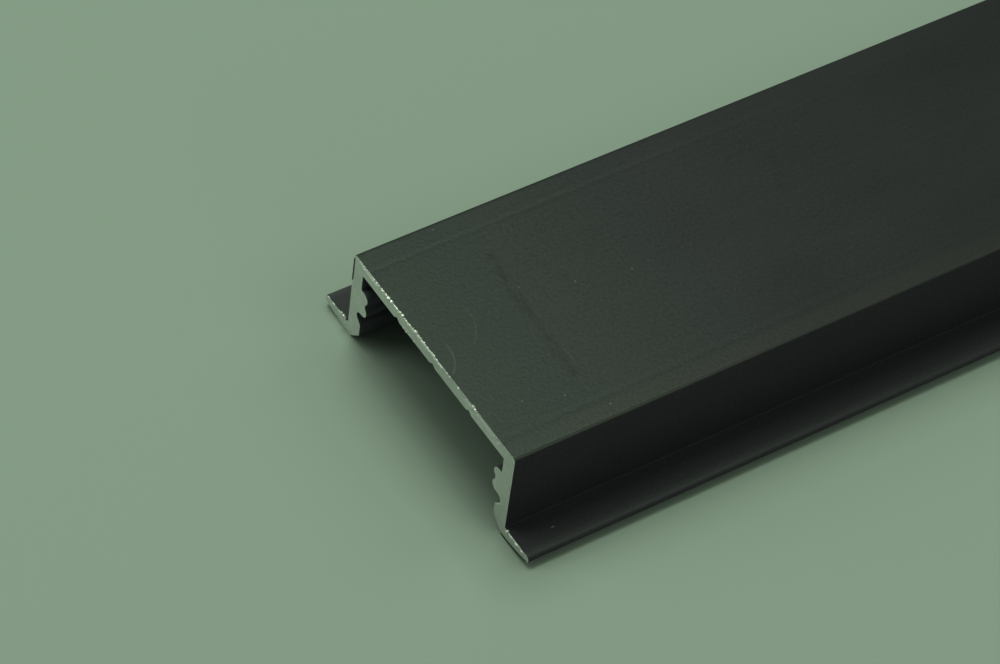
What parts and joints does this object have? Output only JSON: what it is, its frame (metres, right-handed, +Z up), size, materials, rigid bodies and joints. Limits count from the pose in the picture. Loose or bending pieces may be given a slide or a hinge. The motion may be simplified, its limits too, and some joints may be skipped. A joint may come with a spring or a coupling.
{
  "type": "recessed channel profile for light strips",
  "caption": "Flanged aluminium channel extrusion with clip ribs and snap grooves in its legs for a diffuser, black anodised, with sawn ends.",
  "frame": {"origin": "centre of the bar's length and width, on the plane its two feet stand on", "axes": "+X along the bar, +Y across it, +Z up from the open mouth to the flat back of the web; the sawn end of the picture is the -X end"},
  "size_m": [1, 0.031, 0.0096],
  "materials": {
    "anodised_aluminium": "black anodised, satin",
    "sawn_aluminium": "bare metal with fine saw marks and burrs, on the sawn ends"
  },
  "bodies": {
    "root": {"channel_profile": "anodised_aluminium"}
  },
  "joints": []
}
